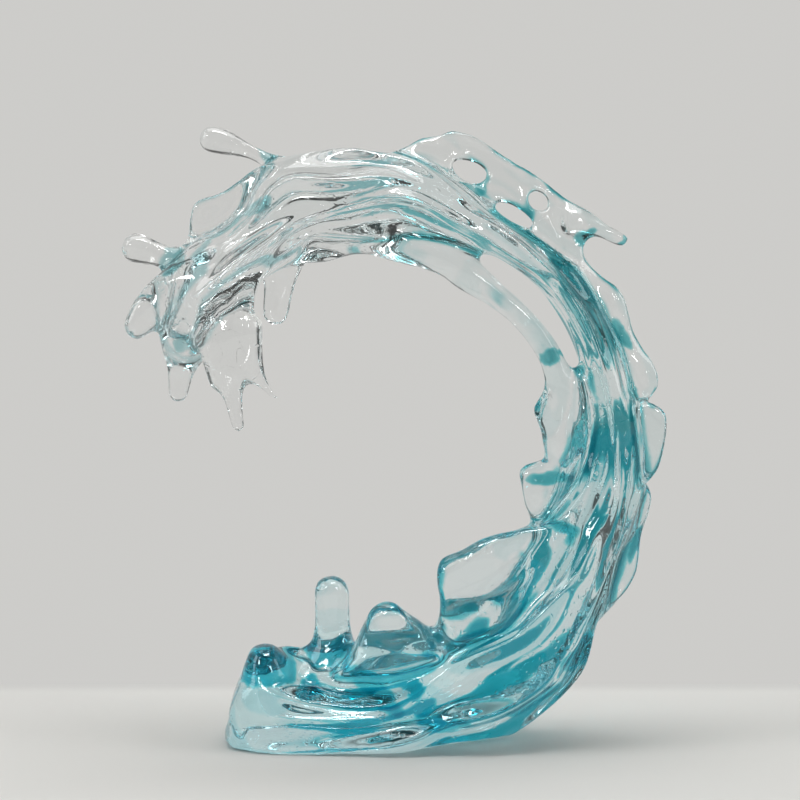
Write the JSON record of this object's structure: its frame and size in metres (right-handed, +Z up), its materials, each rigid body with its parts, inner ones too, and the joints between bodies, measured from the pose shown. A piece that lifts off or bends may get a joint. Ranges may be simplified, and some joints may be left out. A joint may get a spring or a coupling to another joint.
{
  "type": "wave sculpture",
  "caption": "Free-standing ornament of a breaking wave in clear resin, turquoise at its flat foot and colourless at the crest, curled over an open hollow, with lobes, films and splash fingers.",
  "frame": {"origin": "on the flat foot, under the axis of the curl", "axes": "+Z up, +X to the right as seen from the front, where the crest breaks to the left, +Y away from the viewer along the curl's axis"},
  "size_m": [0.2595, 0.0829, 0.2967],
  "materials": {
    "resin_deep": "polished",
    "resin_teal": "polished",
    "resin_aqua": "polished",
    "resin_pale": "polished",
    "resin_clear": "polished"
  },
  "bodies": {
    "root": {"base_swell": "resin_deep", "base_loop_lobe": "resin_deep", "base_stub": "resin_deep", "base_knob": "resin_deep", "base_bead": "resin_deep", "lower_curl": "resin_teal", "wing_lobe": "resin_teal", "rising_curl": "resin_aqua", "small_lobe": "resin_aqua", "fin_lobe": "resin_aqua", "lower_back_fin": "resin_aqua", "shoulder_curl": "resin_pale", "upper_curl": "resin_pale", "inner_ribbon": "resin_pale", "mid_back_fin": "resin_pale", "shoulder_film": "resin_pale", "top_film": "resin_pale", "hook_finger": "resin_pale", "crest_curl": "resin_clear", "crest_web": "resin_clear", "crest_finger_top": "resin_clear", "crest_finger_left": "resin_clear", "crest_finger_front": "resin_clear", "crest_finger_drop": "resin_clear", "crest_tongue": "resin_clear", "tongue_drop": "resin_clear", "tongue_spike": "resin_clear", "tongue_barb": "resin_clear", "crest_under_lobe": "resin_clear"}
  },
  "joints": []
}
